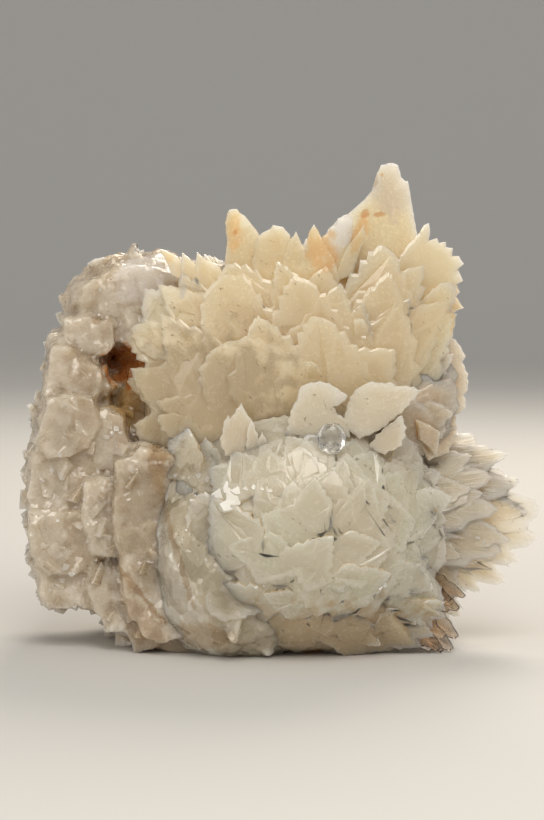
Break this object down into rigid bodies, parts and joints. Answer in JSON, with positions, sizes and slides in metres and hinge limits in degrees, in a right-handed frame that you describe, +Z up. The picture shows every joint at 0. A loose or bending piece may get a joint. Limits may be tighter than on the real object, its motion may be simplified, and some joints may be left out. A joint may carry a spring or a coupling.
{
  "type": "bladed calcite specimen",
  "caption": "Natural mineral specimen: rosettes of flat, pointed, milky calcite blades on broken massive calcite, resting on a flat cut at its foot.",
  "frame": {"origin": "middle of the specimen's plan box, at the level of the flat cut that it rests on", "axes": "+Z up, +X to the right along the display face, -Y out of the display face towards the viewer"},
  "size_m": [0.1104, 0.0714, 0.1019],
  "materials": {
    "calcite": "satin"
  },
  "bodies": {
    "root": {"calcite_cluster": "calcite"}
  },
  "joints": []
}
